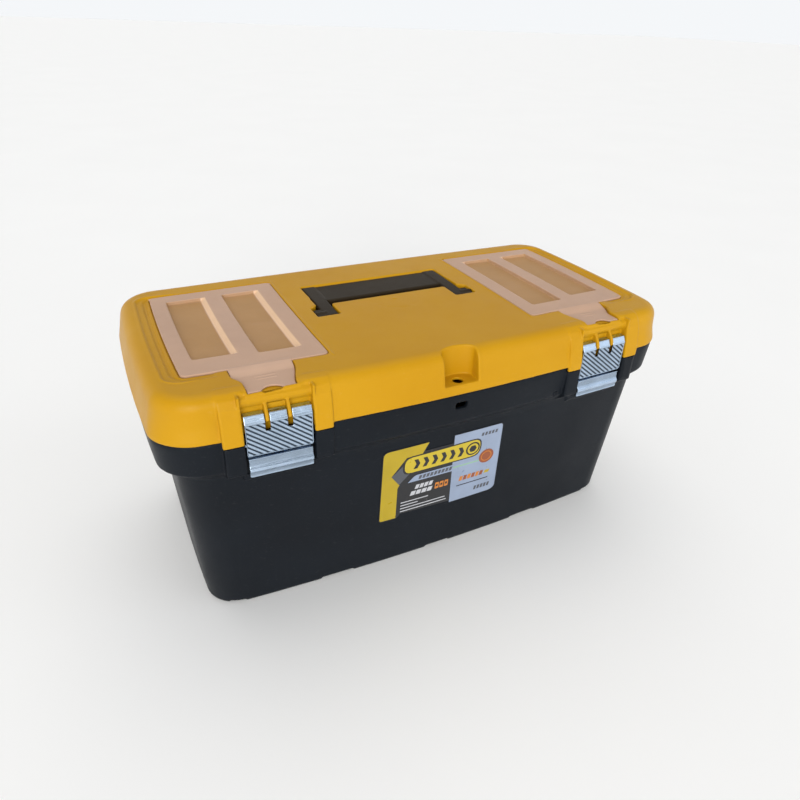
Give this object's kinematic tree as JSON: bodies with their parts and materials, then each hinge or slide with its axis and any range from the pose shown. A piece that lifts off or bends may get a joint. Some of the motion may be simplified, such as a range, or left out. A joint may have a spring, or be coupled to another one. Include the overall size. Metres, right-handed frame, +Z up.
{
  "type": "toolbox with tray",
  "caption": "Plastic toolbox with a hinged lid, covered organiser wells in the lid, a folding carry handle, metal draw latches and a lift-out tray.",
  "frame": {"origin": "centre of the whole model's box in plan, on the surface the toolbox stands on", "axes": "+X along the length, to the right as seen from the latches; -Y towards the latches; +Z up"},
  "size_m": [0.56, 0.2911, 0.252],
  "materials": {
    "yellow_plastic": "satin moulded polypropylene, fine texture",
    "black_plastic": "satin moulded polypropylene, fine texture",
    "handle_plastic": "moulded polypropylene, matt",
    "frosted_plastic": "translucent frosted polypropylene",
    "plated_steel": "bright zinc-plated sheet steel",
    "printed_label": "glossy printed sticker"
  },
  "bodies": {
    "tub": {"tub": "black_plastic", "front_label": "printed_label", "hinge_pin_left": "plated_steel", "hinge_pin_right": "plated_steel", "lever_pin_left": "plated_steel", "lever_pin_right": "plated_steel"},
    "lid": {"lid": "yellow_plastic", "organiser_divider_left_inner": "frosted_plastic", "organiser_divider_left_outer": "frosted_plastic", "organiser_divider_right_inner": "frosted_plastic", "organiser_divider_right_outer": "frosted_plastic"},
    "handle": {"carry_handle": "handle_plastic"},
    "cover_left": {"organiser_cover_left": "frosted_plastic"},
    "cover_right": {"organiser_cover_right": "frosted_plastic"},
    "lever_left": {"latch_lever_left": "plated_steel", "hook_pin_left": "plated_steel"},
    "lever_right": {"latch_lever_right": "plated_steel", "hook_pin_right": "plated_steel"},
    "hook_left": {"latch_hook_left": "plated_steel"},
    "hook_right": {"latch_hook_right": "plated_steel"},
    "tray": {"tray": "yellow_plastic", "tray_handle": "handle_plastic", "tray_divider_left_front": "black_plastic", "tray_divider_left_back": "black_plastic", "tray_divider_right_front": "black_plastic", "tray_divider_right_back": "black_plastic"}
  },
  "joints": [
    {"name": "lid_open", "type": "hinge", "parent": "tub", "child": "lid", "pos_m": [0, 0.14105, 0.2085], "axis": [-1, 0, 0], "range_deg": [0, 105]},
    {"name": "handle_fold", "type": "hinge", "parent": "lid", "child": "handle", "pos_m": [0, -0.00115, 0.2456], "axis": [1, 0, 0], "range_deg": [0, 90]},
    {"name": "tray_lift", "type": "slide", "parent": "tub", "child": "tray", "axis": [0, 0, 1], "range_m": [0, 0.11]},
    {"name": "organiser_cover_left_open", "type": "hinge", "parent": "lid", "child": "cover_left", "pos_m": [-0.17875, 0.09565, 0.2498], "axis": [-1, 0, 0], "range_deg": [0, 95]},
    {"name": "latch_left_release", "type": "hinge", "parent": "tub", "child": "lever_left", "pos_m": [-0.17574, -0.13595, 0.202], "axis": [-0.9993, 0.0384, 0], "range_deg": [0, 72]},
    {"name": "latch_left_hook_swing", "type": "hinge", "parent": "lever_left", "child": "hook_left", "pos_m": [-0.17575, -0.13635, 0.1945], "axis": [-0.9993, 0.0384, 0], "range_deg": [-90, 0]},
    {"name": "organiser_cover_right_open", "type": "hinge", "parent": "lid", "child": "cover_right", "pos_m": [0.17875, 0.09565, 0.2498], "axis": [-1, 0, 0], "range_deg": [0, 95]},
    {"name": "latch_right_release", "type": "hinge", "parent": "tub", "child": "lever_right", "pos_m": [0.17574, -0.13595, 0.202], "axis": [-0.9993, -0.0384, 0], "range_deg": [0, 72]},
    {"name": "latch_right_hook_swing", "type": "hinge", "parent": "lever_right", "child": "hook_right", "pos_m": [0.17575, -0.13635, 0.1945], "axis": [-0.9993, -0.0384, 0], "range_deg": [-90, 0]}
  ],
  "couplings": [
    {"joint": "tray_lift", "follows": "lid_open", "m_per_rad": 0.06},
    {"joint": "latch_left_hook_swing", "follows": "latch_left_release", "ratio": -1.25},
    {"joint": "latch_right_hook_swing", "follows": "latch_right_release", "ratio": -1.25}
  ]
}
